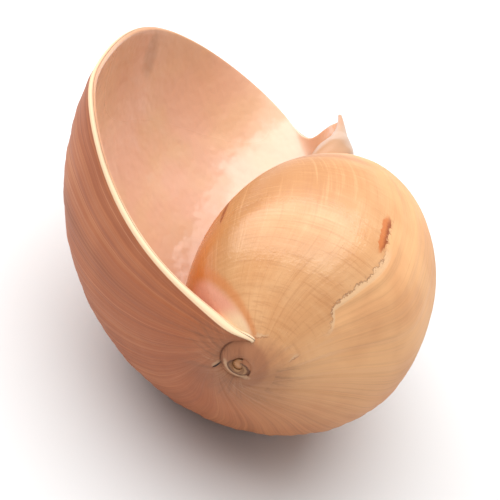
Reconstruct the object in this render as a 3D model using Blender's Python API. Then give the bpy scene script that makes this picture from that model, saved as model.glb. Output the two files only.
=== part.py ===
"""A baler shell, the large smooth sea snail shell, lying on its back with its wide mouth up.

The shell is a logarithmic coil. Its wall is one sheet that grows from the apex to the lip, and every whorl
is the lip's own outline made smaller and turned back, so the last whorl swallows all the earlier ones. A
solid pillar, the columella, runs down the coiling axis and ends in a point beside the canal notch.

In the coiling frame the apex is the origin, the coiling axis is Z, and the shell grows towards -Z. Turn
angles run clockwise seen from the apex. Afterwards the shell is turned to lie as it comes to rest.
"""

import math

import bpy
import bmesh
import numpy as np
from mathutils import Matrix, Vector

MM = 0.001

# Coil: each whorl is this much larger than the one before it.
WHORL_GROWTH = 2.854
WHORLS = 1.75
GROWTH_RATE = math.log(WHORL_GROWTH) / (2.0 * math.pi)

# Lip, from the suture by the apex to the canal notch: place along the lip, distance from the coiling axis
# in mm, depth below the apex in mm, and turn angle in degrees.
LIP_STATIONS = (
    (0.000, 9.3, 2.3, 32.0),
    (0.054, 13.0, 2.2, -13.7),
    (0.256, 76.6, 52.0, -47.7),
    (0.400, 91.7, 93.0, -48.3),
    (0.661, 77.6, 171.0, -61.1),
    (0.873, 38.3, 198.7, -107.3),
    (0.939, 27.5, 188.3, -127.8),
    (1.000, 11.0, 177.4, -125.0),
)

# Wall thickness in mm at turn angle 0. It grows with the square root of the shell's size.
WALL = 2.8
WALL_AT_SUTURE = 1.0
SUTURE_BAND = 0.2
LIP_END_SWELL = 2.6
LIP_END_PLACE = 0.06
LIP_END_SPREAD = 0.05
LIP_END_TURN = 28.0
LIP_ROUNDING = 0.35

# Callus: a smooth swelling of the wall's outer face inside the mouth, its height in mm, its middle as a turn
# angle in degrees back from the lip and a place along it, and how far it spreads each way.
CALLUS_HEIGHT = 1.8
CALLUS_TURN = -270.0
CALLUS_TURN_SPREAD = 50.0
CALLUS_PLACE = 0.74
CALLUS_PLACE_SPREAD = 0.16

# The whorls inside the mouth are slimmer than the last one: by this share, over this range of turn angles
# back from the lip, and over the middle of the wall, from and to these places.
SLIM_SHARE = 0.13
SLIM_FROM = -295.0
SLIM_TO = -370.0
SLIM_PLACES = (0.06, 0.26, 0.75, 1.0)

# How the wall's two long edges run on into what they grow from, in mm at turn angle 0.
SUTURE_TUCK_IN = 1.4
SUTURE_TUCK_DOWN = 1.0
SUTURE_EDGE = 0.4
PILLAR_TUCK = 0.8
PILLAR_EDGE_SHARE = 0.2

# Columella: depth below the apex and radius in mm. Its point bends off the coiling axis.
PILLAR_STATIONS = (
    (1.0, 2.0),
    (4.0, 2.2),
    (20.0, 1.9),
    (60.0, 4.0),
    (105.0, 6.8),
    (130.0, 7.0),
    (150.0, 4.7),
    (164.0, 2.5),
    (175.0, 1.4),
    (184.5, 0.8),
)
PILLAR_BEND_FROM = 128.0
PILLAR_BEND = 9.4
PILLAR_BEND_TURN = -119.0
PILLAR_TOP_CAP = 0.4
PILLAR_TIP_CAP = 0.6

# Folds that wind down the columella: the depth in mm that each has at turn angle 0.
FOLD_DEPTHS = (98.0, 115.0, 132.0, 150.0)
FOLD_HEIGHT = 2.0
FOLD_HALF_WIDTH = 3.2
FOLD_FADE_FROM = 138.0
FOLD_FADE_TO = 158.0

# How the shell lies: the direction that is up, in the coiling frame, and the depth of the small flat that
# the back has where it lies.
REST_UP = (0.920, -0.390, 0.030)
REST_FLAT = 0.4

# Mesh density, and how far back from the lip, in radians, the mesh's columns stand straight. The rows and
# the columella's rings lie closer together towards their ends.
MIDDLE_TURN = math.radians(-55.0)
STRAIGHT_AT = math.radians(330.0)
WALL_ROWS = 20
ROW_EVENNESS = 0.45
COLUMNS_LAST_WHORL = 36
COLUMNS_EARLY_WHORLS = 19
PILLAR_SIDES = 28
PILLAR_RINGS = 30
RING_CROWDING = 1.25

SHELL_COLOUR = (0.72, 0.43, 0.26, 1.0)
SHELL_ROUGHNESS = 0.32
SHARP_ANGLE = math.radians(40.0)

# Block that stands for the ground, in metres: its width and its height.
GROUND_WIDTH = 0.4
GROUND_HEIGHT = 0.1


def clear_scene():
    for obj in list(bpy.data.objects):
        bpy.data.objects.remove(obj)


def smooth_curve(stations, column, at):
    """The natural cubic curve through one column of a table of stations, read at the given places."""
    x = np.array([row[0] for row in stations])
    y = np.array([row[column] for row in stations]) if isinstance(column, int) else np.asarray(column)
    step = np.diff(x)
    slope = np.diff(y) / step
    count = len(x)
    system = np.eye(count)
    right = np.zeros(count)
    for i in range(1, count - 1):
        system[i, i - 1 : i + 2] = step[i - 1], 2.0 * (step[i - 1] + step[i]), step[i]
        right[i] = 6.0 * (slope[i] - slope[i - 1])
    bend = np.linalg.solve(system, right)
    i = np.clip(np.searchsorted(x, at) - 1, 0, count - 2)
    left = (x[i + 1] - at) / step[i]
    ahead = (at - x[i]) / step[i]
    line = left * y[i] + ahead * y[i + 1]
    curve = ((left**3 - left) * bend[i] + (ahead**3 - ahead) * bend[i + 1]) * step[i] ** 2 / 6.0
    return line + curve


def ease(low, high, value):
    """0 at low and beyond, 1 at high and beyond, and smooth between them."""
    share = np.clip((value - low) / (high - low), 0.0, 1.0)
    return share * share * (3.0 - 2.0 * share)


def growth(turn):
    """Size of the shell at a turn angle in radians, as a share of its size at angle 0."""
    return np.exp(GROWTH_RATE * turn)


def lip_turn(place):
    """Turn angle of the lip in radians at a place along it."""
    return np.radians(smooth_curve(LIP_STATIONS, 3, place))


def outline(place):
    """Distance from the axis and depth of the wall at turn angle 0, in mm."""
    scale = growth(np.radians([row[3] for row in LIP_STATIONS]))
    distance = np.array([row[1] for row in LIP_STATIONS]) / scale
    depth = np.array([row[2] for row in LIP_STATIONS]) / scale
    return smooth_curve(LIP_STATIONS, distance, place), smooth_curve(LIP_STATIONS, depth, place)


def coil_point(turn, distance, depth):
    """A point of the coil: distance and depth at turn angle 0, carried to this turn angle."""
    scale = growth(turn)
    x = scale * distance * np.cos(turn)
    y = -scale * distance * np.sin(turn)
    return np.stack([x, y, -scale * depth], axis=-1)


def wall_turn(back, place):
    """Turn angle of the wall's grid: its columns follow the lip there and stand straight a whorl back."""
    share = ease(-STRAIGHT_AT, 0.0, back)
    return back + share * lip_turn(place) + (1.0 - share) * MIDDLE_TURN


def slimness(back, place):
    """Share by which the wall is nearer to the coiling axis than the last whorl's form would be."""
    first, full, last, end = SLIM_PLACES
    band = ease(first, full, place) * ease(end, last, place)
    return SLIM_SHARE * band * ease(SLIM_FROM, SLIM_TO, np.degrees(back))


def wall_surface(back, place):
    """Outer face of the wall, back being the turn angle from the lip, which is 0 or less."""
    distance, depth = outline(place)
    return coil_point(wall_turn(back, place), distance * (1.0 - slimness(back, place)), depth)


def wall_normal(back, place, step=1e-4):
    """Outward direction of the wall."""
    along = wall_surface(back + step, place) - wall_surface(back - step, place)
    across = wall_surface(back, place + step) - wall_surface(back, place - step)
    normal = np.cross(along, across)
    return normal / np.linalg.norm(normal, axis=-1, keepdims=True)


def wall_thickness(back, place):
    """Thickness in mm: thin where the wall meets the whorl before it, swollen at the lip's end there."""
    scale = growth(wall_turn(back, place))
    ramp = ease(0.0, SUTURE_BAND, place)
    thickness = np.sqrt(scale) * (WALL_AT_SUTURE + (WALL - WALL_AT_SUTURE) * ramp)
    swell = np.exp(-(((place - LIP_END_PLACE) / LIP_END_SPREAD) ** 2))
    return thickness + LIP_END_SWELL * swell * np.exp(np.degrees(back) / LIP_END_TURN)


def callus_height(back, place):
    """Height in mm of the callus on the wall's outer face."""
    turn_share = (np.degrees(back) - CALLUS_TURN) / CALLUS_TURN_SPREAD
    place_share = (place - CALLUS_PLACE) / CALLUS_PLACE_SPREAD
    return CALLUS_HEIGHT * np.exp(-(turn_share**2) - place_share**2)


def pillar_centre(depth):
    """Centre of the columella at a depth in mm: on the axis, then bending away towards its point."""
    tip = PILLAR_STATIONS[-1][0]
    share = np.clip((depth - PILLAR_BEND_FROM) / (tip - PILLAR_BEND_FROM), 0.0, 1.0)
    offset = PILLAR_BEND * share**2
    turn = math.radians(PILLAR_BEND_TURN)
    return np.stack([offset * math.cos(turn), -offset * math.sin(turn), -depth], axis=-1)


def pillar_mesh():
    """The columella: rings round its centre line, with the folds as ridges that follow the coil."""
    first = PILLAR_STATIONS[0][0]
    tip = PILLAR_STATIONS[-1][0]
    share = np.linspace(0.0, 1.0, PILLAR_RINGS)
    depth = first + (tip - first) * (1.0 - (1.0 - share) ** RING_CROWDING)
    around = np.linspace(0.0, 2.0 * math.pi, PILLAR_SIDES, endpoint=False)
    radius = smooth_curve(PILLAR_STATIONS, 1, depth)[:, None] + np.zeros(PILLAR_SIDES)
    fade = np.clip((FOLD_FADE_TO - depth) / (FOLD_FADE_TO - FOLD_FADE_FROM), 0.0, 1.0)[:, None]
    for fold in FOLD_DEPTHS:
        ridge_turn = np.log(depth / fold) / GROWTH_RATE
        gap = np.angle(np.exp(1j * (around[None, :] - ridge_turn[:, None])))
        width = FOLD_HALF_WIDTH / smooth_curve(PILLAR_STATIONS, 1, np.full(1, fold))
        height = FOLD_HEIGHT * np.minimum(depth / fold, 1.0)[:, None]
        started = depth[:, None] > fold / WHORL_GROWTH
        radius = radius + fade * height * started * np.exp(-((gap / width) ** 2))
    centre = pillar_centre(depth)[:, None, :]
    ring = np.stack([np.cos(around), -np.sin(around), 0.0 * around], axis=-1)[None, :, :]
    points = centre + radius[..., None] * ring
    cap = np.array([first - PILLAR_TOP_CAP, tip + PILLAR_TIP_CAP])
    return points, pillar_centre(cap)


def new_object(name, build):
    """A mesh object whose faces the given function makes."""
    mesh = bpy.data.meshes.new(name)
    skin = bmesh.new()
    build(skin)
    bmesh.ops.recalc_face_normals(skin, faces=skin.faces)
    skin.to_mesh(mesh)
    skin.free()
    obj = bpy.data.objects.new(name, mesh)
    bpy.context.scene.collection.objects.link(obj)
    return obj


def build_wall(skin):
    """Both faces of the wall as one closed skin: each row runs to the lip outside and back inside."""
    share = np.linspace(0.0, 1.0, WALL_ROWS)
    crowded = (1.0 - np.cos(math.pi * share)) / 2.0
    place = ROW_EVENNESS * share + (1.0 - ROW_EVENNESS) * crowded
    early = np.linspace(-2.0 * math.pi * WHORLS, -2.0 * math.pi, COLUMNS_EARLY_WHORLS, endpoint=False)
    last = np.linspace(-2.0 * math.pi, 0.0, COLUMNS_LAST_WHORL + 1)
    back, place = np.meshgrid(np.concatenate([early, last]), place)
    outer = wall_surface(back, place)
    normal = wall_normal(back, place)
    thickness = wall_thickness(back, place)[..., None]
    inner = outer - thickness * normal
    outer = outer + callus_height(back, place)[..., None] * normal
    scale = growth(wall_turn(back, place))[..., None]

    # The suture edge dips into the whorl before it, and the other edge runs on into the columella.
    turn = wall_turn(back[0], place[0])
    tuck = np.stack([-np.cos(turn), np.sin(turn), 0.0 * turn], axis=-1) * SUTURE_TUCK_IN
    tuck[:, 2] = -SUTURE_TUCK_DOWN
    outer_suture = outer[0] + scale[0] * tuck
    inner_suture = outer_suture - SUTURE_EDGE * scale[0] * normal[0]
    middle = 0.5 * (outer[-1] + inner[-1])
    target = pillar_centre(-middle[:, 2])
    dive = PILLAR_TUCK * (target - middle)
    thinning = PILLAR_EDGE_SHARE * thickness[-1] * normal[-1]
    outer_pillar = outer[-1] + dive - thinning
    inner_pillar = inner[-1] + dive + thinning
    outer = np.concatenate([outer_suture[None], outer, outer_pillar[None]])
    inner = np.concatenate([inner_suture[None], inner, inner_pillar[None]])

    # A rounded edge along the lip.
    ahead = outer[:, -1] - outer[:, -2]
    ahead = ahead / np.linalg.norm(ahead, axis=-1, keepdims=True)
    depth = np.linalg.norm(outer[:, -1] - inner[:, -1], axis=-1, keepdims=True)
    edge = 0.5 * (outer[:, -1] + inner[:, -1]) + LIP_ROUNDING * depth * ahead
    loop = np.concatenate([outer, edge[:, None], inner[:, ::-1]], axis=1) * MM
    rows, count = loop.shape[:2]
    vertices = [[skin.verts.new(point) for point in row] for row in loop]
    for j in range(rows - 1):
        for i in range(count):
            k = (i + 1) % count
            skin.faces.new((vertices[j][i], vertices[j][k], vertices[j + 1][k], vertices[j + 1][i]))
    for j in (0, rows - 1):
        row = vertices[j]
        columns = outer.shape[1]
        for i in range(columns - 1):
            skin.faces.new((row[i], row[i + 1], row[count - 2 - i], row[count - 1 - i]))
        skin.faces.new((row[columns - 1], row[columns], row[columns + 1]))


def build_pillar(skin):
    """The columella as one closed skin, with a point at each end."""
    points, ends = pillar_mesh()
    rings = [[skin.verts.new(point) for point in ring] for ring in points * MM]
    top, tip = (skin.verts.new(point) for point in ends * MM)
    for upper, lower in zip(rings, rings[1:]):
        for i in range(PILLAR_SIDES):
            k = (i + 1) % PILLAR_SIDES
            skin.faces.new((upper[i], upper[k], lower[k], lower[i]))
    for i in range(PILLAR_SIDES):
        k = (i + 1) % PILLAR_SIDES
        skin.faces.new((rings[0][i], rings[0][k], top))
        skin.faces.new((rings[-1][i], rings[-1][k], tip))


def rest_rotation():
    """Turns the coiling frame so that REST_UP points up and the long way of the shell runs along +Y."""
    up = Vector(REST_UP).normalized()
    ahead = Vector((0.0, 0.0, -1.0))
    ahead = (ahead - ahead.dot(up) * up).normalized()
    side = ahead.cross(up)
    return Matrix((side, ahead, up))


def boolean(obj, other, operation, name):
    """Joins another object to this one, or cuts it away, and keeps the other out of sight."""
    modifier = obj.modifiers.new(name, "BOOLEAN")
    modifier.object = other
    modifier.operation = operation
    modifier.solver = "EXACT"
    modifier.use_self = operation == "UNION"
    other.hide_render = True
    other.display_type = "WIRE"
    other.hide_set(True)


def shell_material():
    material = bpy.data.materials.new("shell")
    material.use_nodes = True
    shader = material.node_tree.nodes["Principled BSDF"]
    shader.inputs["Base Color"].default_value = SHELL_COLOUR
    shader.inputs["Roughness"].default_value = SHELL_ROUGHNESS
    shader.inputs["Metallic"].default_value = 0.0
    return material


def rest_place(shell):
    """Turns the shell to lie and moves it so that the middle of its box stands over the origin."""
    rotation = rest_rotation()
    points = np.array([rotation @ vertex.co for vertex in shell.data.vertices])
    low = points.min(axis=0)
    high = points.max(axis=0)
    middle = (low + high) / 2.0
    move = Matrix.Translation((-middle[0], -middle[1], -low[2] - REST_FLAT * MM))
    return move @ rotation.to_4x4()


def main():
    clear_scene()
    shell = new_object("shell", build_wall)
    pillar = new_object("columella", build_pillar)
    place = rest_place(shell)
    for obj in (shell, pillar):
        obj.data.transform(place)
    boolean(shell, pillar, "UNION", "columella")
    bpy.ops.mesh.primitive_cube_add(size=1.0, location=(0.0, 0.0, -GROUND_HEIGHT / 2.0))
    ground = bpy.context.object
    ground.name = "ground"
    ground.scale = (GROUND_WIDTH, GROUND_WIDTH, GROUND_HEIGHT)
    boolean(shell, ground, "DIFFERENCE", "rest flat")
    shell.data.materials.append(shell_material())
    shell.data.shade_smooth()
    shell.data.set_sharp_from_angle(angle=SHARP_ANGLE)


main()
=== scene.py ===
"""A baler shell lying on its back, its wide mouth up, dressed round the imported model.

The wall is a logarithmic coil: every whorl is the lip's own outline made smaller and turned back. What follows
the growth of the shell, such as its lines and the glaze's edge, is laid out in values that the wall's mesh
carries: growth, the turn in degrees back from the lip, and place, from 0 at the suture to 1 at the columella.
With them go the age and the way to the rim in mm, the gap to the glaze's edge in degrees, the side, and the
point itself, seen from the apex in the coil's x, y and z in mm.
"""

import logging
import math
from dataclasses import dataclass
from enum import Enum

import bpy
import numpy as np
from mathutils import Matrix, Vector


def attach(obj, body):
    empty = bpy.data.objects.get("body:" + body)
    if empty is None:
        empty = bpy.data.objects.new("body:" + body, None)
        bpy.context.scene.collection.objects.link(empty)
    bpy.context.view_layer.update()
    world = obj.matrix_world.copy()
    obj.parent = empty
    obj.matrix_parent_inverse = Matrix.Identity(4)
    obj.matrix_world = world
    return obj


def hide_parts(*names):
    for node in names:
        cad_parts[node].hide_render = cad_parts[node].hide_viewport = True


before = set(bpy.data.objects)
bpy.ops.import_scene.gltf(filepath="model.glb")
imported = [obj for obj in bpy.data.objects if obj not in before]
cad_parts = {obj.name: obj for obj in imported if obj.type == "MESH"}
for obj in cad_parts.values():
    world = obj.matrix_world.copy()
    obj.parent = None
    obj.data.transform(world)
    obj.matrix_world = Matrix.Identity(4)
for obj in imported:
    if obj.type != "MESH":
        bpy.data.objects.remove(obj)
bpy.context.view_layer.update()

log = logging.getLogger("baler_shell")

MM = 0.001
FULL_TURN = 2.0 * math.pi
MIX_LOW, MIX_HIGH, MIX_RESULT = 6, 7, 2  # The Mix node's sockets for colours.

Colour = tuple[float, float, float]
Numbers = tuple[float, ...]
Stations = tuple[Numbers, ...]
Inputs = list[object] | dict[str | int, object]


class Face(Enum):
    """The two faces of the wall, with the value that the mesh carries for each."""

    OUTER = 0.0
    INNER = 1.0


def paint(red: float, green: float, blue: float) -> Colour:
    """A colour as seen on a screen, 0 to 255 each, made linear by the sRGB standard."""
    shares = np.array([red, green, blue]) / 255.0
    low = shares / 12.92
    high = ((shares + 0.055) / 1.055) ** 2.4
    return tuple(np.where(shares <= 0.04045, low, high).tolist())


def add_object(name: str, data: bpy.types.ID) -> bpy.types.Object:
    """Adds an object with its data to the scene."""
    item = bpy.data.objects.new(name, data)
    bpy.context.scene.collection.objects.link(item)
    return item


def ease(share: np.ndarray) -> np.ndarray:
    """Smooth step: 3 s squared less 2 s cubed, with s kept between 0 and 1."""
    share = np.clip(share, 0.0, 1.0)
    return share * share * (3.0 - 2.0 * share)


def hump(values: np.ndarray, middle: float, spread: float) -> np.ndarray:
    """Bell curve: e to the power of less ((v - middle) / spread) squared."""
    return np.exp(-(((values - middle) / spread) ** 2))


def ripple(values: np.ndarray, waves: Stations) -> np.ndarray:
    """Sum of sine waves, each given as height, wave length and phase in turns.

    Args:
        values: where the waves are read.
        waves: rows of height, wave length and phase.

    Returns:
        The sum at every value.
    """
    total = np.zeros_like(values)
    for height, length, phase in waves:
        total = total + height * np.sin(FULL_TURN * (values / length + phase))
    return total


def smooth_curve(stations: Stations, column: int | np.ndarray, at: np.ndarray) -> np.ndarray:
    """The natural cubic curve through stations: between two of them it is a cubic with matching bends.

    Args:
        stations: rows whose first number is the place of the station.
        column: which number of each row to follow, or the values themselves.
        at: places to read.

    Returns:
        The curve's value at every place.
    """
    x = np.array([row[0] for row in stations])
    y = np.array([row[column] for row in stations]) if isinstance(column, int) else np.asarray(column)
    step = np.diff(x)
    slope = np.diff(y) / step
    count = len(x)
    inside = np.arange(1, count - 1)
    system = np.eye(count)
    system[inside, inside - 1] = step[:-1]
    system[inside, inside] = 2.0 * (step[:-1] + step[1:])
    system[inside, inside + 1] = step[1:]
    right = np.zeros(count)
    right[inside] = 6.0 * np.diff(slope)
    bend = np.linalg.solve(system, right)
    i = np.clip(np.searchsorted(x, at) - 1, 0, count - 2)
    left = (x[i + 1] - at) / step[i]
    ahead = (at - x[i]) / step[i]
    curve = ((left**3 - left) * bend[i] + (ahead**3 - ahead) * bend[i + 1]) * step[i] ** 2 / 6.0
    return left * y[i] + ahead * y[i + 1] + curve


@dataclass(frozen=True)
class Coil:
    """The logarithmic coil. Its apex is the origin, its axis is Z, and it grows towards -Z; lengths are in mm."""

    whorl_growth: float = 2.854
    whorls: float = 1.75

    @property
    def rate(self) -> float:
        """Growth for each radian of turn."""
        return math.log(self.whorl_growth) / FULL_TURN

    def scale(self, turn: np.ndarray) -> np.ndarray:
        """Size at a turn angle, as a share of the size at 0: e to the power of rate times turn."""
        return np.exp(self.rate * turn)

    def point(self, turn: np.ndarray, distance: np.ndarray, depth: np.ndarray) -> np.ndarray:
        """A point of the coil: scale times (distance cos turn, less distance sin turn, less depth).

        Args:
            turn: turn angle in radians.
            distance: distance from the axis at turn 0.
            depth: depth below the apex at turn 0.

        Returns:
            Points, with x, y and z last.
        """
        scale = self.scale(turn)
        x = scale * distance * np.cos(turn)
        y = -scale * distance * np.sin(turn)
        return np.stack([x, y, -scale * depth], axis=-1)


@dataclass(frozen=True)
class Rest:
    """How the shell lies: the direction of the coil that is up, where the coil's apex stands, and the flat."""

    up: Colour = (0.920, -0.390, 0.030)
    apex: Colour = (18.1448, -99.9568, 70.1722)

    def matrix(self) -> np.ndarray:
        """Rows side, ahead and up: ahead is the coil's -Z made level, side is ahead cross up."""
        up = Vector(self.up).normalized()
        ahead = Vector((0.0, 0.0, -1.0))
        ahead = (ahead - ahead.dot(up) * up).normalized()
        return np.array([ahead.cross(up), ahead, up])

    def lay(self, points: np.ndarray) -> np.ndarray:
        """Coil points in mm, turned to lie, moved to their place, worn level at the ground, in metres."""
        placed = points @ self.matrix().T + np.array(self.apex)
        placed[..., 2] = np.maximum(placed[..., 2], 0.0)
        return placed * MM


@dataclass
class Skin:
    """A grid of points with named values at each point, and the joins between neighbours that make it a mesh."""

    points: np.ndarray
    values: dict[str, np.ndarray]

    def sides(self) -> np.ndarray:
        """Corners of each face between neighbours in the grid, which closes round each row."""
        rows, count = self.points.shape[:2]
        index = np.arange(rows * count).reshape(rows, count)
        after = np.roll(index, -1, axis=1)
        return np.stack([index[:-1], after[:-1], after[1:], index[1:]], axis=-1).reshape(-1, 4)

    def ends(self, folded: bool) -> np.ndarray:
        """Corners of each face that closes the first or the last row.

        Args:
            folded: the row runs out and back, so opposite points are joined; otherwise it is one face.

        Returns:
            The corner indices, a row for each face.
        """
        rows, count = self.points.shape[:2]
        i = np.arange(count // 2 - 1)
        strip = np.stack([i, i + 1, count - 2 - i, count - 1 - i], axis=-1)
        faces = strip if folded else np.arange(count)[None]
        return np.concatenate([faces[:, ::-1], faces + (rows - 1) * count])

    def build(self, name: str, folded: bool) -> bpy.types.Object:
        """Makes the mesh object, its faces turned outwards and shaded smooth.

        Args:
            name: name of the object.
            folded: how the first and last rows are closed, as ends says.

        Returns:
            The new object, linked to the scene.
        """
        sides, ends = self.sides(), self.ends(folded)
        loops = np.concatenate([sides.ravel(), ends.ravel()]).astype(np.int32)
        sizes = np.concatenate([np.full(len(faces), faces.shape[1]) for faces in (sides, ends)])
        points = self.points.reshape(-1, 3)
        mesh = bpy.data.meshes.new(name)
        mesh.vertices.add(len(points))
        mesh.vertices.foreach_set("co", points.astype(np.float32).ravel())
        mesh.loops.add(len(loops))
        mesh.loops.foreach_set("vertex_index", loops)
        mesh.polygons.add(len(sizes))
        mesh.polygons.foreach_set("loop_start", np.concatenate([[0], np.cumsum(sizes)[:-1]]).astype(np.int32))
        mesh.update(calc_edges=True)
        mesh.validate()
        for label, data in self.values.items():
            layer = mesh.attributes.new(label, "FLOAT", "POINT")
            layer.data.foreach_set("value", data.astype(np.float32).ravel())
        if self.volume(sides) < 0.0:
            mesh.flip_normals()
        mesh.shade_smooth()
        return add_object(name, mesh)

    def volume(self, quads: np.ndarray) -> float:
        """Signed volume of the cones from the middle to every quad, which is above 0 when they face out."""
        points = self.points.reshape(-1, 3)
        points = points - points.mean(axis=0)
        a, b, c, d = (points[quads[:, k]] for k in range(4))
        return float(np.sum(np.cross(b - a, d - b) * (a + b + c + d)))


@dataclass
class Wall:
    """The shell's wall, from the apex to the lip, as one closed skin; lengths are in mm."""

    coil: Coil
    rest: Rest
    stations: Stations = (
        (0.000, 9.3, 2.3, 32.0),
        (0.054, 13.0, 2.2, -13.7),
        (0.256, 76.6, 52.0, -47.7),
        (0.400, 91.7, 93.0, -48.3),
        (0.661, 77.6, 171.0, -61.1),
        (0.873, 38.3, 198.7, -107.3),
        (0.939, 27.5, 188.3, -127.8),
        (1.000, 11.0, 177.4, -125.0),
    )
    thickness: float = 2.8
    suture_thickness: float = 1.0
    suture_band: float = 0.2
    lip_end_swell: float = 2.6
    lip_end_place: float = 0.06
    lip_end_spread: float = 0.05
    lip_end_turn: float = 28.0
    lip_rounding: float = 0.35
    lip_columns: int = 7
    callus_height: float = 1.8
    callus_turn: float = -270.0
    callus_turn_spread: float = 50.0
    callus_place: float = 0.74
    callus_place_spread: float = 0.16
    slim_share: float = 0.13
    slim_from: float = -295.0
    slim_to: float = -370.0
    slim_places: Numbers = (0.06, 0.26, 0.75, 1.0)
    tuck_in: float = 1.4
    tuck_down: float = 1.0
    suture_edge: float = 0.4
    pillar_tuck: float = 0.8
    pillar_edge_share: float = 0.2
    middle_turn: float = math.radians(-55.0)
    straight_at: float = math.radians(330.0)
    rows: int = 112
    row_evenness: float = 0.45
    columns_early: int = 95
    columns_last: int = 320
    age_radius: float = 60.0
    relief_band: float = 0.1
    relief_fade: float = 8.0
    growth_waves: Stations = ((0.07, 3.1, 0.0), (0.06, 4.7, 0.37), (0.09, 8.3, 0.11), (0.10, 14.9, 0.62))
    glaze_edge: Stations = (
        (0.00, -330.0),
        (0.10, -300.0),
        (0.115, -268.0),
        (0.128, -226.0),
        (0.16, -224.0),
        (0.19, -233.0),
        (0.205, -244.0),
        (0.26, -247.0),
        (0.50, -248.0),
        (0.62, -249.0),
        (1.00, -249.0),
    )

    def lip_turn(self, place: np.ndarray) -> np.ndarray:
        """Turn angle of the lip in radians at a place along it."""
        return np.radians(smooth_curve(self.stations, 3, place))

    def outline(self, place: np.ndarray) -> tuple[np.ndarray, np.ndarray]:
        """Distance and depth at turn 0: each station of the lip divided by the coil's scale there."""
        _, distance, depth, turn = np.array(self.stations).T
        scale = self.coil.scale(np.radians(turn))
        across = smooth_curve(self.stations, distance / scale, place)
        return across, smooth_curve(self.stations, depth / scale, place)

    def turn(self, back: np.ndarray, place: np.ndarray) -> np.ndarray:
        """Turn angle of the grid: back plus the lip's own turn, which fades to one angle a whorl back."""
        share = ease(1.0 + back / self.straight_at)
        return back + share * self.lip_turn(place) + (1.0 - share) * self.middle_turn

    def surface(self, back: np.ndarray, place: np.ndarray) -> np.ndarray:
        """Outer face: the outline at that place, made slimmer in the mouth, carried along to that turn."""
        distance, depth = self.outline(place)
        slimmer = 1.0 - self.slimness(back, place)
        return self.coil.point(self.turn(back, place), distance * slimmer, depth)

    def slimness(self, back: np.ndarray, place: np.ndarray) -> np.ndarray:
        """Share by which inner whorls are slimmer: a smooth step in turn times one up and down in place."""
        first, full, last, end = self.slim_places
        band = ease((place - first) / (full - first)) * ease((end - place) / (end - last))
        return self.slim_share * band * ease((np.degrees(back) - self.slim_from) / (self.slim_to - self.slim_from))

    def normal(self, back: np.ndarray, place: np.ndarray, step: float = 1e-4) -> np.ndarray:
        """Outward direction: the way along the coil cross the way across it."""
        along = self.surface(back + step, place) - self.surface(back - step, place)
        across = self.surface(back, place + step) - self.surface(back, place - step)
        normal = np.cross(along, across)
        return normal / np.linalg.norm(normal, axis=-1, keepdims=True)

    def wall_depth(self, back: np.ndarray, place: np.ndarray) -> np.ndarray:
        """Thickness: the root of the scale times a ramp from the suture, and a swelling at the lip's end."""
        ramp = ease(place / self.suture_band)
        rise = self.suture_thickness + (self.thickness - self.suture_thickness) * ramp
        swell = self.lip_end_swell * hump(place, self.lip_end_place, self.lip_end_spread)
        return np.sqrt(self.coil.scale(self.turn(back, place))) * rise + swell * np.exp(
            np.degrees(back) / self.lip_end_turn
        )

    def callus(self, back: np.ndarray, place: np.ndarray) -> np.ndarray:
        """Height of the swelling on the outer face in the mouth: a bell curve in turn times one in place."""
        turn_share = hump(np.degrees(back), self.callus_turn, self.callus_turn_spread)
        return self.callus_height * turn_share * hump(place, self.callus_place, self.callus_place_spread)

    def relief(self, growth: np.ndarray, place: np.ndarray) -> np.ndarray:
        """Low ridges parallel to the lip on the outer face: sine waves of the age, smoothed away under glaze."""
        bare = ease(self.glaze_gap(growth, place) / self.relief_fade + 0.5)
        near_suture = ease(place / self.relief_band)
        return bare * near_suture * ripple(self.age(growth), self.growth_waves)

    def glaze_gap(self, growth: np.ndarray, place: np.ndarray) -> np.ndarray:
        """Degrees of growth past the glaze's edge, which runs straight between its stations."""
        x, y = np.array(self.glaze_edge).T
        return growth - np.interp(place, x, y)

    def age(self, growth: np.ndarray) -> np.ndarray:
        """Length in mm that the shell has grown at one distance from its axis: radius times scale over rate."""
        return self.age_radius * self.coil.scale(np.radians(growth)) / self.coil.rate

    def grid(self) -> tuple[np.ndarray, np.ndarray]:
        """Back and place of the grid's points: rows crowd towards both ends, columns are even in each whorl."""
        share = np.linspace(0.0, 1.0, self.rows)
        crowded = (1.0 - np.cos(math.pi * share)) / 2.0
        place = self.row_evenness * share + (1.0 - self.row_evenness) * crowded
        start = -FULL_TURN * self.coil.whorls
        early = np.linspace(start, -FULL_TURN, self.columns_early, endpoint=False)
        last = np.linspace(-FULL_TURN, 0.0, self.columns_last + 1)
        back, place = np.meshgrid(np.concatenate([early, last]), place)
        return back, place

    def tuck(
        self,
        columella: "Columella",
        outer: np.ndarray,
        inner: np.ndarray,
        normal: np.ndarray,
        turn: np.ndarray,
        thickness: np.ndarray,
    ) -> tuple[np.ndarray, np.ndarray]:
        """Adds a row at each long edge: one dips into the whorl before, the other runs on into the columella.

        Args:
            columella: what the second edge runs into.
            outer: points of the outer face.
            inner: points of the inner face.
            normal: outward directions.
            turn: turn angle of the first row.
            thickness: thickness of the last row.

        Returns:
            The outer and the inner face with their new rows.
        """
        scale = self.coil.scale(turn)[:, None]
        dip = np.stack([-np.cos(turn), np.sin(turn), 0.0 * turn], axis=-1) * self.tuck_in
        dip[:, 2] = -self.tuck_down
        outer_first = outer[0] + scale * dip
        inner_first = outer_first - self.suture_edge * scale * normal[0]
        middle = 0.5 * (outer[-1] + inner[-1])
        dive = self.pillar_tuck * (columella.centre(-middle[:, 2]) - middle)
        thinning = self.pillar_edge_share * thickness[:, None] * normal[-1]
        outer_last = outer[-1] + dive - thinning
        inner_last = inner[-1] + dive + thinning
        return (
            np.concatenate([outer_first[None], outer, outer_last[None]]),
            np.concatenate([inner_first[None], inner, inner_last[None]]),
        )

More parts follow.
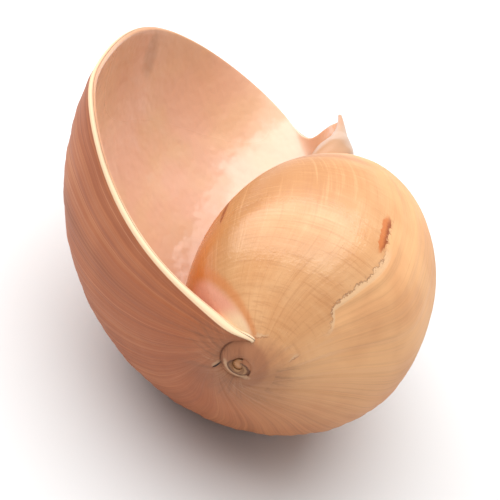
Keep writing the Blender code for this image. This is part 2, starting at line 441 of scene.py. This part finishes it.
    def lip_edge(self, outer: np.ndarray, inner: np.ndarray) -> np.ndarray:
        """Half-round lip: middle plus cosine of half the thickness and sine of the rounding ahead.

        Args:
            outer: the outer face.
            inner: the inner face.

        Returns:
            The edge's points, columns from the outer face to the inner one.
        """
        ahead = outer[:, -1] - outer[:, -2]
        ahead = ahead / np.linalg.norm(ahead, axis=-1, keepdims=True)
        middle = 0.5 * (outer[:, -1] + inner[:, -1])
        half = 0.5 * (outer[:, -1] - inner[:, -1])
        depth = np.linalg.norm(outer[:, -1] - inner[:, -1], axis=-1, keepdims=True)
        angle = np.linspace(0.0, math.pi, self.lip_columns + 2)[1:-1, None, None]
        edge = middle + np.cos(angle) * half + np.sin(angle) * self.lip_rounding * depth * ahead
        return edge.transpose(1, 0, 2)

    def build(self, columella: "Columella") -> bpy.types.Object:
        """Builds the wall: each row runs to the lip outside, round its edge, and back inside.

        Args:
            columella: what the wall's inner edge runs into.

        Returns:
            The wall's object.
        """
        back, place = self.grid()
        turn = self.turn(back, place)
        growth = np.degrees(turn - self.lip_turn(place))
        normal = self.normal(back, place)
        thickness = self.wall_depth(back, place)
        face = self.surface(back, place)
        inner = face - thickness[..., None] * normal
        height = self.callus(back, place) + self.relief(growth, place)
        outer = face + height[..., None] * normal
        outer, inner = self.tuck(columella, outer, inner, normal, turn[0], thickness[-1])
        edge = self.lip_edge(outer, inner)
        points = np.concatenate([outer, edge, inner[:, ::-1]], axis=1)

        place = np.concatenate([place[:1], place, place[-1:]])
        growth = np.concatenate([growth[:1], growth, growth[-1:]])
        age, gap = self.age(growth), self.glaze_gap(growth, place)
        step =np.linalg.norm(np.diff(outer, axis=1), axis=-1)
        rim = np.concatenate([np.cumsum(step[:, ::-1], axis=1)[:, ::-1], np.zeros((len(outer), 1))], axis=1)
        over = np.ones((1, self.lip_columns))
        share = np.linspace(Face.OUTER.value, Face.INNER.value, self.lip_columns + 2)[None, 1:-1]
        side = share + 0.0 * place[:, :1]
        values = {
            "place": self.around(place, place[:, -1:] * over),
            "growth": self.around(growth, growth[:, -1:] * over),
            "age": self.around(age, age[:, -1:] * over),
            "rim": self.around(rim, 0.0 * side),
            "glaze_gap": self.around(gap, gap[:, -1:] * over),
            "side": np.concatenate(
                [np.full_like(place, Face.OUTER.value), side, np.full_like(place, Face.INNER.value)], axis=1
            ),
            "apex_x": points[..., 0],
            "apex_y": points[..., 1],
            "apex_z": points[..., 2],
        }
        return Skin(self.rest.lay(points), values).build("shell_wall", folded=True)

    @staticmethod
    def around(values: np.ndarray, edge: np.ndarray) -> np.ndarray:
        """Values of a face, of the lip's edge, and of the face again on the way back."""
        return np.concatenate([values, edge, values[:, ::-1]], axis=1)


@dataclass
class Columella:
    """The solid pillar on the coiling axis, with winding folds and a point beside the canal notch, in mm."""

    coil: Coil
    rest: Rest
    stations: Stations = (
        (1.0, 2.0),
        (4.0, 2.2),
        (20.0, 1.9),
        (60.0, 4.0),
        (105.0, 6.8),
        (130.0, 7.0),
        (150.0, 4.7),
        (164.0, 2.5),
        (175.0, 1.4),
        (184.5, 0.8),
    )
    bend_from: float = 128.0
    bend: float = 9.4
    bend_turn: float = math.radians(-119.0)
    fold_depths: Numbers = (98.0, 115.0, 132.0, 150.0)
    fold_height: float = 2.0
    fold_half_width: float = 3.2
    fold_fade_from: float = 138.0
    fold_fade_to: float = 158.0
    top_cap: float = 0.4
    tip_cap: float = 0.6
    cap_radius: float = 0.02
    rings: int = 150
    ring_crowding: float = 1.25
    sides: int = 112

    def centre(self, depth: np.ndarray) -> np.ndarray:
        """Centre line: on the axis, then off it by the bend times the share of the way to the tip, squared."""
        tip = self.stations[-1][0]
        share = np.clip((depth - self.bend_from) / (tip - self.bend_from), 0.0, 1.0)
        offset = self.bend * share**2
        x = offset * math.cos(self.bend_turn)
        y = -offset * math.sin(self.bend_turn)
        return np.stack([x, y, -depth], axis=-1)

    def radius(self, depth: np.ndarray, around: np.ndarray) -> np.ndarray:
        """Radius: the stations' curve, and a bell-shaped ridge for each fold where the coil carries it."""
        radius = smooth_curve(self.stations, 1, depth) + 0.0 * around
        fade = np.clip((self.fold_fade_to - depth) / (self.fold_fade_to - self.fold_fade_from), 0.0, 1.0)
        for fold in self.fold_depths:
            ridge_turn = np.log(depth / fold) / self.coil.rate
            gap = np.angle(np.exp(1j * (around - ridge_turn)))
            width = self.fold_half_width / smooth_curve(self.stations, 1, np.full(1, fold))
            height = self.fold_height * np.minimum(depth / fold, 1.0)
            started = depth > fold / self.coil.whorl_growth
            radius = radius + fade * height * started * hump(gap / width, 0.0, 1.0)
        return radius

    def build(self) -> bpy.types.Object:
        """Builds the pillar: rings round the centre line, closer together towards the point.

        Returns:
            The columella's object.
        """
        first, tip = self.stations[0][0], self.stations[-1][0]
        share = np.linspace(0.0, 1.0, self.rings)
        depth = first + (tip - first) * (1.0 - (1.0 - share) ** self.ring_crowding)
        around = np.linspace(0.0, FULL_TURN, self.sides, endpoint=False)
        depth, around = np.meshgrid(depth, around, indexing="ij")
        ring = np.stack([np.cos(around), -np.sin(around), 0.0 * around], axis=-1)
        points = self.centre(depth) + self.radius(depth, around)[..., None] * ring
        cap = np.array([first - self.top_cap, tip + self.tip_cap])
        ends = np.repeat(self.centre(cap)[:, None, :], self.sides, axis=1)
        ends = ends + self.cap_radius * ring[:2]
        points = np.concatenate([ends[:1], points, ends[1:]])
        values = {"depth": -points[..., 2]}
        return Skin(self.rest.lay(points), values).build("columella", folded=False)


class Value:
    """A shader socket that takes part in Python expressions, which add Math nodes."""

    def __init__(self, nodes: "Nodes", socket: bpy.types.NodeSocket) -> None:
        """Wraps a socket of a node tree."""
        self.nodes = nodes
        self.socket = socket

    def math(self, operation: str, *others: "Value | float") -> "Value":
        """A Math node on this value and the others."""
        return self.nodes.add("ShaderNodeMath", {"operation": operation}, [self, *others])

    def __add__(self, other: "Value | float") -> "Value":
        """Sum."""
        return self.math("ADD", other)

    __radd__ = __add__

    def __sub__(self, other: "Value | float") -> "Value":
        """Difference."""
        return self.math("SUBTRACT", other)

    def __rsub__(self, other: "Value | float") -> "Value":
        """Difference, the other way round."""
        return self.nodes.add("ShaderNodeMath", {"operation": "SUBTRACT"}, [other, self])

    def __mul__(self, other: "Value | float") -> "Value":
        """Product."""
        return self.math("MULTIPLY", other)

    __rmul__ = __mul__

    def __truediv__(self, other: "Value | float") -> "Value":
        """Quotient."""
        return self.math("DIVIDE", other)

    def __pow__(self, other: "Value | float") -> "Value":
        """Power."""
        return self.math("POWER", other)

    def size(self) -> "Value":
        """This value without its sign."""
        return self.math("ABSOLUTE")

    def step(self, low: float, high: float) -> "Value":
        """0 below low, 1 above high and smooth between; with low above high it falls."""
        inputs = {"Value": self, "From Min": min(low, high), "From Max": max(low, high)}
        rise = self.nodes.add("ShaderNodeMapRange", {"interpolation_type": "SMOOTHSTEP"}, inputs)
        return 1.0 - rise if low > high else rise


class Nodes:
    """Adds nodes to one material's tree."""

    def __init__(self, tree: bpy.types.NodeTree) -> None:
        """Takes the tree that nodes are added to."""
        self.tree = tree

    def add(self, kind: str, settings: dict[str, object], inputs: Inputs, output: int | str = 0) -> Value:
        """Adds one node.

        Args:
            kind: the node's type.
            settings: properties, set before the inputs.
            inputs: values or links of its sockets, in order or by name.
            output: which output to return.

        Returns:
            The output.
        """
        node = self.tree.nodes.new(kind)
        for name, value in settings.items():
            setattr(node, name, value)
        self.fill(node, inputs)
        return Value(self, node.outputs[output])

    def fill(self, node: bpy.types.Node, inputs: Inputs) -> None:
        """Links or sets a node's inputs, in order or by name."""
        pairs = enumerate(inputs) if isinstance(inputs, list) else inputs.items()
        for key, value in pairs:
            if isinstance(value, Value):
                self.tree.links.new(value.socket, node.inputs[key])
            else:
                node.inputs[key].default_value = value

    def attribute(self, name: str) -> Value:
        """A value that the mesh carries."""
        return self.add("ShaderNodeAttribute", {"attribute_name": name}, [], "Fac")

    def vector(self, x: Value | float, y: Value | float, z: Value | float = 0.0) -> Value:
        """Three values as a vector."""
        return self.add("ShaderNodeCombineXYZ", {}, [x, y, z])

    def noise(self, vector: Value, scale: float = 1.0, detail: float = 2.0, rough: float = 0.5) -> Value:
        """Smooth noise between 0 and 1, near 0.5 on the whole."""
        values = {"Vector": vector, "Scale": scale, "Detail": detail, "Roughness": rough}
        return self.add("ShaderNodeTexNoise", {}, values, "Fac")

    def step(self, value: Value, low: float, high: float) -> Value:
        """The step of a longer expression."""
        return value.step(low, high)

    def blob(self, x: Value, y: Value, size_x: float, size_y: float) -> Value:
        """1 in the middle of an ellipse round x and y of 0, falling smoothly to 0 at its edge."""
        return ((x / size_x) ** 2.0 + (y / size_y) ** 2.0).step(1.0, 0.0)

    def turned(self, x: Value, y: Value, mark: tuple[float, ...]) -> tuple[Value, Value]:
        """How far a point is along a mark's direction and across it.

        Args:
            x: first coordinate.
            y: second coordinate.
            mark: the mark's middle, x and y, and its direction, x and y.

        Returns:
            The lengths along and across.
        """
        middle_x, middle_y, ahead_x, ahead_y = mark[:4]
        x, y = x - middle_x, y - middle_y
        return x * ahead_x + y * ahead_y, y * ahead_x - x * ahead_y

    def mix(self, share: Value, low: Value | Colour, high: Value | Colour) -> Value:
        """Two colours mixed by a share."""
        low, high = ((*end, 1.0) if isinstance(end, tuple) else end for end in (low, high))
        settings = {"data_type": "RGBA", "clamp_factor": True}
        return self.add("ShaderNodeMix", settings, {"Factor": share, MIX_LOW: low, MIX_HIGH: high}, MIX_RESULT)

    def layers(self, colour: Value, rows: list[tuple[Value, Value | Colour]]) -> Value:
        """A colour with others laid over it one by one, each given with its share."""
        for share, over in rows:
            colour = self.mix(share, colour, over)
        return colour


class Surface:
    """A new material, its shader and the nodes that feed it."""

    def __init__(self, name: str) -> None:
        """Makes the material."""
        self.material = bpy.data.materials.new(name)
        self.material.use_nodes = True
        self.nodes = Nodes(self.material.node_tree)

    def dress(self, mesh: bpy.types.Mesh, inputs: Inputs) -> None:
        """Sets or links the shader's inputs and gives the material to a mesh."""
        self.nodes.fill(self.material.node_tree.nodes["Principled BSDF"], inputs)
        mesh.materials.append(self.material)


@dataclass(frozen=True)
class BareFinish:
    """The bare outer wall and its growth lines, which wander by so many mm.

    It goes from russet to gold between its two given growth angles: partly the shell's own tone, and partly
    painted light and shade, darker on the wall near the lip and lighter on the older part.
    """

    tan: Colour = paint(192, 116, 70)
    # russet and gold: partly the shell's own tone, partly painted shade near the lip and painted light further
    # back.
    russet: Colour = paint(164, 88, 46)
    gold: Colour = paint(238, 181, 126)
    line_dark: Colour = paint(112, 56, 30)
    line_pale: Colour = paint(222, 160, 112)
    old_and_lit: Numbers = (-80.0, -225.0)
    wander: float = 3.0
    roughness: float = 0.58


@dataclass(frozen=True)
class ApexFinish:
    """The worn area round the apex."""

    skin: Colour = paint(172, 112, 78)
    ash: Colour = paint(104, 76, 58)
    chalk: Colour = paint(214, 178, 142)
    whorl: Colour = paint(158, 100, 66)
    brown: Colour = paint(98, 54, 32)
    pane: Colour = paint(142, 96, 60)
    pane_pale: Colour = paint(184, 138, 96)
    # Painted shade: the near black inside the slit.
    gap: Colour = paint(50, 30, 20)


@dataclass(frozen=True)
class GlazeFinish:
    """The clear glaze over the inner whorl, with the throw in degrees and the height in mm of its torn edge.

    On its far side, between two places, it is rougher and has no coat.
    """

    honey: Colour = paint(218, 158, 106)
    pale: Colour = paint(230, 178, 128)
    # Painted shade: darkens the glaze inwards and further back in growth.
    painted_shade: Colour = paint(184, 126, 74)
    scratch: Colour = paint(180, 118, 72)
    amber: Colour = paint(204, 112, 50)
    rose: Colour = paint(226, 154, 128)
    # Also painted beside the glaze's torn edge as the highlight that the edge catches.
    cream: Colour = paint(236, 198, 156)
    rust: Colour = paint(200, 104, 36)
    stain: Colour = paint(140, 64, 20)
    # Also laid as a painted shade line along the ball's top edge.
    crack: Colour = paint(164, 100, 60)
    tear: float = 13.0
    tear_height: float = 0.1
    far_side: Numbers = (0.33, 0.5)
    far_roughness: float = 0.3
    roughness: float = 0.13
    coat: float = 0.26


@dataclass(frozen=True)
class LiningFinish:
    """The smooth lining of the mouth, and the lip.

    Its pale cloud is a painted reflection, and begins at a place that shifts with growth.
    """

    peach: Colour = paint(232, 188, 150)
    rose: Colour = paint(234, 184, 156)
    tan: Colour = paint(204, 138, 90)
    # Painted shade: darker deeper in the mouth.
    deep: Colour = paint(206, 150, 122)
    # Painted shade along a crease in the lining.
    fold_shade: Colour = paint(150, 106, 70)
    # Painted reflection of the light overhead in the glossy lining.
    cloud: Colour = paint(248, 226, 202)
    lip: Colour = paint(230, 198, 160)
    reflection_shift: float = 0.0035
    dull_roughness: float = 0.25
    roughness: float = 0.17
    coat: float = 0.4


@dataclass(frozen=True)
class Marks:
    """Where single marks lie, with their half sizes.

    The stain and the streak are in degrees of growth and in place, and the band is a line in them, given as a
    point and its slope. The crease in the lining, a painted shade along a fold, is in place and in mm from the
    rim. The others are in mm from the apex in the coil's x and y: the window, the slit and the scars are turned
    along a direction, clear is where the glaze ends beside the apex, and the suture is a spiral whose distance
    from the apex is its first number less its second times the bearing.
    """

    stain: Numbers = (-250.4, 0.415, 2.9, 0.082)
    streak: Numbers = (-331.4, 0.46, 1.8, 0.09)
    crease: Numbers = (0.606, 10.0, 0.02, 12.0)
    band: Numbers = (-291.0, 0.12, -365.0)
    clear: Numbers = (9.5, 8.0)
    suture: Numbers = (8.3, 1.65)
    window: Numbers = (-0.9, 0.2, -0.575, -0.819, 3.7, 2.3)
    slit: Numbers = (-0.5, 7.4, 0.527, -0.85, 2.2, 0.35)
    scars: Stations = ((8.5, -7.2, -0.2, -0.98, 3.0, 0.6), (-0.7, -16.2, 0.45, -0.89, 2.2, 0.6))


@dataclass
class ShellMaterial:
    """The one material of the wall, mixed from the finishes of its parts and of single marks."""

    bare: BareFinish
    apex: ApexFinish
    glaze: GlazeFinish
    lining: LiningFinish
    marks: Marks
    coat_roughness: float = 0.22
    specular: float = 0.45

    def __post_init__(self) -> None:
        """Makes an empty material and reads the values that the mesh carries."""
        self.surface = Surface("shell_wall")
        self.nodes = self.surface.nodes
        self.place = self.nodes.attribute("place")
        self.growth = self.nodes.attribute("growth")
        self.age = self.nodes.attribute("age")
        self.side = self.nodes.attribute("side")
        self.rim = self.nodes.attribute("rim")
        self.gap = self.nodes.attribute("glaze_gap")
        self.x = self.nodes.attribute("apex_x")
        self.y = self.nodes.attribute("apex_y")
        self.far = (self.x**2.0 + self.y**2.0) ** 0.5
        self.at = self.nodes.vector(self.x, self.y, self.nodes.attribute("apex_z"))

    def outside(self) -> tuple[Value, Value]:
        """Colour and height in mm of the bare wall: growth lines of several widths over slow changes of tone, and
        a shift from russet to gold that is partly painted light and shade.

        Returns:
            The colour and the height.
        """
        n, f = self.nodes, self.bare
        along = self.age + n.noise(self.at, 0.03) * f.wander
        fine = n.noise(n.vector(along * 1.9, self.place * 3.0), 1.0, 3.0, 0.6)
        lines = n.noise(n.vector(along * 0.55, self.place * 1.6), 1.0, 4.0, 0.65)
        bands = n.noise(n.vector(along * 0.08, self.place * 2.0))
        cloud = n.noise(self.at, 0.045, 3.0)
        # Share from russet to gold, partly painted light and shade; older growth also gets fainter lines.
        old_and_lit = self.growth.step(*f.old_and_lit)
        plain = (1.0 - old_and_lit * 0.7) * (0.45 + self.place.step(0.08, 0.34) * 0.55)
        rows = [
            (cloud.step(0.35, 0.7) * 0.35, f.tan),
            (n.step(bands, 0.48, 0.72) * plain * 0.3, f.line_dark),
            (lines.step(0.53, 0.62) * plain * 0.26, f.line_dark),
            (lines.step(0.46, 0.37) * plain * 0.22, f.line_pale),
            (fine.step(0.52, 0.63) * plain * 0.28, f.line_dark),
            (fine.step(0.46, 0.36) * plain * 0.18, f.line_pale),
        ]
        colour = n.layers(n.mix(old_and_lit, f.russet, f.gold), rows)
        return self.round_apex(colour, lines * 0.14 + fine * 0.08 + bands * 0.2)

    def round_apex(self, colour: Value, height: Value) -> tuple[Value, Value]:
        """The area round the apex: an oval window with a worn rim and a spiral, and folds that fan out from it.

        Args:
            colour: colour of the wall so far.
            height: height of the wall so far, in mm.

        Returns:
            The colour and the height.
        """
        n, f, m = self.nodes, self.apex, self.marks
        uneven = n.noise(self.at, 0.9, 3.0, 0.6) - 0.5
        bearing = self.y.math("ARCTAN2", self.x)
        fan = n.noise(n.vector(bearing * 7.0, self.far * 0.05), 1.0, 4.0, 0.65)
        near = n.step(self.far + uneven * 6.0, 22.0, 7.0) * 0.6 + self.far.step(10.0, 8.0) * 0.3
        reach = m.suture[0] - bearing * m.suture[1] - self.far
        below = self.x.step(0.0, -5.0)
        shown = (self.y.step(1.0, 6.0) + below).math("MINIMUM", 1.0) * reach.step(0.3, -0.3)
        dark = fan.step(0.46, 0.66) * self.far.step(26.0, 8.0)
        pale = fan.step(0.48, 0.32) * self.far.step(17.0, 6.0) * (1.0 - below * 0.5)

        patch = reach.step(-0.1, 0.3) * self.y.step(-3.4, -0.8) * self.x.step(-3.0, -0.5)
        ribs = n.noise(n.vector(self.y * 1.6, self.x * 0.15), 1.0, 3.0, 0.6)
        seam = n.step(reach.size(), 0.6, 0.1) * bearing.step(0.0, 0.3) * bearing.step(2.0, 1.5)

        long, across = n.turned(self.x, self.y, m.window)
        oval = ((long / m.window[4]) ** 2.0 + (across / m.window[5]) ** 2.0) ** 0.5 + uneven * 0.4
        under = n.step(across + long * 0.15, 0.2, -1.6)
        lap = oval.step(1.0, 1.15) * oval.step(1.6, 1.3) * under
        window = oval.step(1.12, 0.98)
        curl = ((long**2.0 + across**2.0) ** 0.5 * 3.2 + across.math("ARCTAN2", long)).math("SINE")
        floor = n.mix(n.step(curl, 0.0, 0.9) * 0.6, f.pane, f.pane_pale)

        long, across = n.turned(self.x, self.y, m.slit)
        slit = n.blob(long, across, m.slit[4], m.slit[5])
        edge = n.blob(long, across - m.slit[5] * 1.8, m.slit[4], m.slit[5] * 2.0)
        rows = [
            (near, f.skin),
            (dark * shown * 0.4, f.ash),
            (pale * shown * 0.4, f.chalk),
            (below * self.far.step(32.0, 12.0) * 0.2, f.ash),
            (patch * 0.85, f.whorl),
            (patch * n.step(ribs, 0.5, 0.66) * 0.4, f.brown),
            (seam * 0.7, f.brown),
            (lap * 0.6, f.chalk),
            (window, n.mix(oval.step(0.72, 0.95) * 0.8, floor, f.brown)),
            (edge * 0.45, f.chalk),
            # Painted shade: the slit is near black for the dark inside it.
            (slit, f.gap),
        ]
        height = height + pale * shown * 0.2 - window * 0.3 - slit * 0.8 + lap * 0.3
        return n.layers(colour, rows), height

    def glazed(self) -> tuple[Value, Value]:
        """Colour and height in mm of the glaze.

        Fine scratches cross it, it is duller towards its far side and inwards, and it ends orange deep inside.
        Painted shade darkens it inwards and further back in growth, less on its lit side.
        Beside the suture lies an orange band with a pink and a cream area behind it.

        Returns:
            The colour and the height.
        """
        n, f = self.nodes, self.glaze
        across = n.noise(n.vector(self.growth * 0.55, self.place * 3.0), 1.0, 4.0, 0.7)
        along = n.noise(n.vector(self.growth * 0.03, self.place * 130.0), 1.0, 3.0, 0.65)
        grain = n.noise(n.vector(self.growth * 0.35, self.place * 70.0), 1.0, 3.0, 0.65)
        cloud = n.noise(self.at, 0.06, 3.0)
        # Painted shade: darker inwards from place 0.2 and below about -292 degrees, weaker on the lit side above
        # about -260.
        lit = self.growth.step(-285.0, -260.0)
        shade = self.place.step(0.2, 0.5) * (0.9 - lit * 0.5) + self.growth.step(-292.0, -335.0) * 0.75
        start, low, slope = self.marks.band
        drift = self.growth - start - (self.place - low) * slope
        band = n.step((drift + 4.0).size(), 8.0, 1.0) * self.place.step(0.34, 0.24)
        blush = n.step(drift, -5.0, -15.0) * self.place.step(0.28, 0.22)
        rows = [
            (shade.math("MINIMUM", 1.0), f.painted_shade),
            (across.step(0.52, 0.66) * 0.28, f.scratch),
            (across.step(0.46, 0.34) * 0.28, f.pale),
            (along.step(0.52, 0.66) * 0.28, f.scratch),
            (along.step(0.46, 0.32) * 0.25, f.pale),
            # Painted shade: a thin dark line along the ball's top edge as the camera sees it.
            (self.place.step(0.65, 0.67) * self.place.step(0.72, 0.68) * 0.4, f.crack),
            (self.growth.step(-322.0, -352.0) * 0.8, f.amber),
            (band * 0.5, f.amber),
            (blush * 0.85, f.rose),
            (blush * n.step(self.place + cloud * 0.03, 0.185, 0.145), f.cream),
        ]
        colour = n.layers(n.mix(cloud.step(0.35, 0.7), f.honey, f.pale), rows)
        return self.stained(colour), across * 0.1 + along * 0.06 + grain * 0.16

    def stained(self, colour: Value) -> Value:
        """Two marks in the glaze: an orange slash with a brown right edge, and a short dark streak.

        Args:
            colour: colour of the glaze so far.

        Returns:
            The colour.
        """
        n, f = self.nodes, self.glaze
        growth, place, wide, tall = self.marks.stain
        ragged = (n.noise(self.at, 0.5) - 0.5) * 4.0
        stain = n.blob(self.growth - growth + ragged, self.place - place, wide, tall)
        colour = n.mix(stain.step(0.0, 0.7) * 0.8, colour, f.rust)
        edge = n.step(self.growth + ragged * 0.4, growth - wide * 0.1, growth + wide * 0.6)
        colour = n.mix(stain.step(0.05, 0.5) * edge * 0.85, colour, f.stain)
        growth, place, wide, tall = self.marks.streak
        streak = n.blob(self.growth - growth, self.place - place, wide, tall)
        return n.mix(n.step(streak, 0.0, 0.5) * 0.85, colour, f.stain)

    def scarred(self, colour: Value) -> Value:
        """Two small healed scars beside the apex, each a dark line with a pale one along it.

        Args:
            colour: colour of the wall so far.

        Returns:
            The colour.
        """
        n, f = self.nodes, self.apex
        uneven = (n.noise(self.at, 0.7, 3.0, 0.6) - 0.5) * 2.4
        for mark in self.marks.scars:
            long, across = n.turned(self.x, self.y, mark)
            across = across + uneven
            colour = n.mix(n.blob(long, across - mark[5], mark[4], mark[5]) * 0.5, colour, f.chalk)
            colour = n.mix(n.blob(long, across, mark[4], mark[5] * 0.7) * 0.6, colour, f.whorl)
        return colour

    def inside(self) -> tuple[Value, Value]:
        """Colour of the lining: peach, tan and duller near the lip, with a pale cloud towards the canal.

        The cloud is a painted reflection of the light overhead, and painted shade darkens the lining deeper in the
        mouth.

        Returns:
            The colour and how dull the lining is.
        """
        n, f = self.nodes, self.lining
        top = self.rim.step(62.0, 4.0) * self.place.step(0.4, 0.56) * self.place.step(0.95, 0.7)
        low = self.rim.step(36.0, 4.0) * self.place.step(0.46, 0.26)
        billow = self.place - self.growth * f.reflection_shift + (n.noise(self.at, 0.07, 4.0) - 0.5) * 0.16
        place, rim, wide, tall = self.marks.crease
        rows = [
            (top * 0.6, f.tan),
            (low * 0.7, f.tan),
            # Painted shade: the lining darkens deeper in the mouth, past about -44 degrees of growth.
            (self.growth.step(-44.0, -72.0) * 0.85, f.deep),
            # Painted reflection: a pale cloud where the lining mirrors the light overhead.
            (n.step(billow, 0.862, 0.9) * self.place.step(0.97, 0.9) * 0.45, f.cloud),
            (self.place.step(0.9, 0.97) * 0.6, f.tan),
            # Painted shade: a soft dark patch along a crease in the lining.
            (n.blob(self.place - place, self.rim - rim, wide, tall) * 0.35, f.fold_shade),
        ]
        base = n.mix(n.step(n.noise(self.at, 0.035, 3.0), 0.35, 0.65), f.peach, f.rose)
        return n.layers(base, rows), (top + low * 0.8).math("MINIMUM", 1.0)

    def dress(self, piece: bpy.types.Object) -> None:
        """Mixes the finishes by side, glaze and lip, and gives the material to a piece.

        The glaze's edge is torn where broken is 1, worn thin beyond that, and fades out beside the suture.

        Args:
            piece: the wall's object.
        """
        n = self.nodes
        bare, bare_height = self.outside()
        glazed, glazed_height = self.glazed()
        lining, dull = self.inside()
        ragged = self.gap + (n.noise(self.at, 0.45, 6.0, 0.75) - 0.5) * self.glaze.tear
        broken = self.place.step(0.17, 0.2)
        worn = self.place.step(0.44, 0.54)
        sharp = ragged.step(0.4, -0.4) * (1.0 - worn) + self.gap.step(5.0, -9.0) * worn
        edge = sharp * broken + self.gap.step(45.0, -35.0) * (1.0 - broken)
        apex = self.far.step(*self.marks.clear) * self.place.step(0.4, 0.3)
        glaze = edge * self.place.step(0.06, 0.11) * (1.0 - apex)
        below = broken * self.place.step(0.39, 0.34)
        crack = n.step(ragged.size(), 0.7, 0.2) * below
        # Painted highlight: the cream band beside the torn edge stands in for the glints along it; it also counts
        # as glaze for height and gloss.
        layer = ragged.step(-0.1, 0.2) * self.gap.step(4.0, 2.6) * broken * self.place.step(0.4, 0.34)
        inner = self.side.step(0.45, 0.55)
        rows = [(glaze, glazed), (layer * 0.6, self.glaze.cream), (crack * 0.5, self.glaze.crack)]
        colour = n.mix(inner, self.scarred(n.layers(bare, rows)), lining)
        shown = self.side - self.place.step(0.24, 0.12) * 0.6
        lip = self.rim.step(0.7, 0.2) * n.step(shown, 0.6, 0.26) * self.place.step(0.98, 0.92)
        colour = n.mix(lip, colour, self.lining.lip)
        glaze = (glaze + layer).math("MINIMUM", 1.0)
        height = bare_height * (1.0 - glaze) + glazed_height * glaze + edge * below * self.glaze.tear_height
        billow = n.noise(self.at, 0.05, 3.0, 0.55) * 1.6 * inner
        height = height * (1.0 - inner) * (1.0 - lip) + billow
        patches = n.noise(n.vector(self.growth * 0.12, self.place * 22.0), 1.0, 3.0, 0.7) - 0.5
        far_side = n.step(self.place + patches * 0.16, *self.glaze.far_side)
        glaze_rough = self.glaze.roughness + far_side * self.glaze.far_roughness
        rough = self.bare.roughness * (1.0 - glaze) + glaze_rough * glaze
        rough = rough * (1.0 - inner) + (self.lining.roughness + dull * self.lining.dull_roughness) * inner
        coat = self.glaze.coat * (1.0 - far_side) * glaze * (1.0 - inner) + self.lining.coat * (1.0 - dull) * inner
        inputs = {
            "Base Color": colour,
            "Roughness": rough,
            "Coat Weight": coat,
            "Coat Roughness": self.coat_roughness,
            "Specular IOR Level": self.specular,
            "Normal": n.add("ShaderNodeBump", {}, {"Distance": MM, "Height": height}, "Normal"),
        }
        self.surface.dress(piece.data, inputs)


@dataclass(frozen=True)
class PillarFinish:
    """The columella: peach up inside, cream where it leaves the mouth, light tan at its point, by depth in mm."""

    peach: Colour = paint(182, 126, 82)
    cream: Colour = paint(186, 144, 110)
    point: Colour = paint(192, 138, 98)
    mouth_depths: Numbers = (110.0, 150.0)
    point_depths: Numbers = (160.0, 176.0)
    roughness: float = 0.36
    coat: float = 0.1

    def dress(self, piece: bpy.types.Object) -> None:
        """Makes the columella's material and gives it to the piece."""
        surface = Surface("columella")
        n = surface.nodes
        depth = n.attribute("depth")
        colour = n.mix(depth.step(*self.mouth_depths), self.peach, self.cream)
        colour = n.mix(depth.step(*self.point_depths), colour, self.point)
        surface.dress(piece.data, {"Base Color": colour, "Roughness": self.roughness, "Coat Weight": self.coat})


@dataclass
class Studio:
    """The pale floor, the soft lights and the camera. Angles are in degrees, lengths in metres."""

    azimuth: float = -4.7335
    elevation: float = 35.9449
    roll: float = 18.3613
    aim: Colour = (0.003596, -0.020067, 0.055286)
    distance: float = 0.599
    lens: float = 122.55
    sensor: float = 36.0
    clip_start: float = 0.01
    floor_size: float = 6.0
    floor_colour: Colour = paint(225, 225, 225)
    floor_roughness: float = 0.9
    world_strength: float = 0.45
    ceiling_middle: Colour = (-0.78, 0.5, 1.0)
    ceiling_size: Numbers = (2.84, 2.2)
    ceiling_power: float = 47.0

    def camera(self) -> None:
        """Sets the camera on a sphere round its aim, then rolls it about its line of sight."""
        azimuth, elevation = math.radians(self.azimuth), math.radians(self.elevation)
        level = math.cos(elevation)
        view = Vector((math.sin(azimuth) * level, math.cos(azimuth) * level, -math.sin(elevation)))
        data = bpy.data.cameras.new("camera")
        data.lens = self.lens
        data.sensor_width = self.sensor
        data.clip_start = self.clip_start
        camera = add_object("camera", data)
        turned = view.to_track_quat("-Z", "Y").to_matrix() @ Matrix.Rotation(math.radians(self.roll), 3, "Z")
        camera.matrix_world = Matrix.Translation(Vector(self.aim) - self.distance * view) @ turned.to_4x4()
        bpy.context.scene.camera = camera

    def floor(self) -> bpy.types.Object:
        """The floor: one large square just under the shell."""
        mesh = bpy.data.meshes.new("floor")
        half = self.floor_size / 2.0
        corners = [(-half, -half, 0.0), (half, -half, 0.0), (half, half, 0.0), (-half, half, 0.0)]
        mesh.from_pydata(corners, [], [(0, 1, 2, 3)])
        Surface("floor").dress(mesh, {"Base Color": (*self.floor_colour, 1.0), "Roughness": self.floor_roughness})
        return add_object("floor", mesh)

    def ceiling(self) -> None:
        """The one wide soft light: a level panel overhead, shining down, that the shell's gloss mirrors."""
        data = bpy.data.lights.new("ceiling", "AREA")
        data.shape = "RECTANGLE"
        data.size, data.size_y = self.ceiling_size
        data.energy = self.ceiling_power
        panel = add_object("ceiling", data)
        panel.location = self.ceiling_middle
        panel.visible_camera = False

    def build(self) -> None:
        """Sets up the whole studio and the plain white surroundings."""
        self.camera()
        self.floor()
        world = bpy.data.worlds.new("studio")
        world.use_nodes = True
        background = world.node_tree.nodes["Background"]
        background.inputs["Color"].default_value = (1.0, 1.0, 1.0, 1.0)
        background.inputs["Strength"].default_value = self.world_strength
        bpy.context.scene.world = world
        self.ceiling()
        bpy.context.scene.view_settings.view_transform = "Standard"


def main() -> None:
    """Builds the studio, the wall and the columella, dresses them and ties them to the frame."""
    logging.basicConfig(level=logging.INFO, format="%(name)s: %(message)s")
    Studio().build()
    coil, rest = Coil(), Rest()
    columella = Columella(coil, rest)
    wall = Wall(coil, rest)
    pillar_piece = columella.build()
    wall_piece = wall.build(columella)
    PillarFinish().dress(pillar_piece)
    ShellMaterial(BareFinish(), ApexFinish(), GlazeFinish(), LiningFinish(), Marks()).dress(wall_piece)
    for piece in (wall_piece, pillar_piece):
        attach(piece, "root")
        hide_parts("shell")
        log.info("%s: %d faces", piece.name, len(piece.data.polygons))


if __name__ == "__main__":
    main()
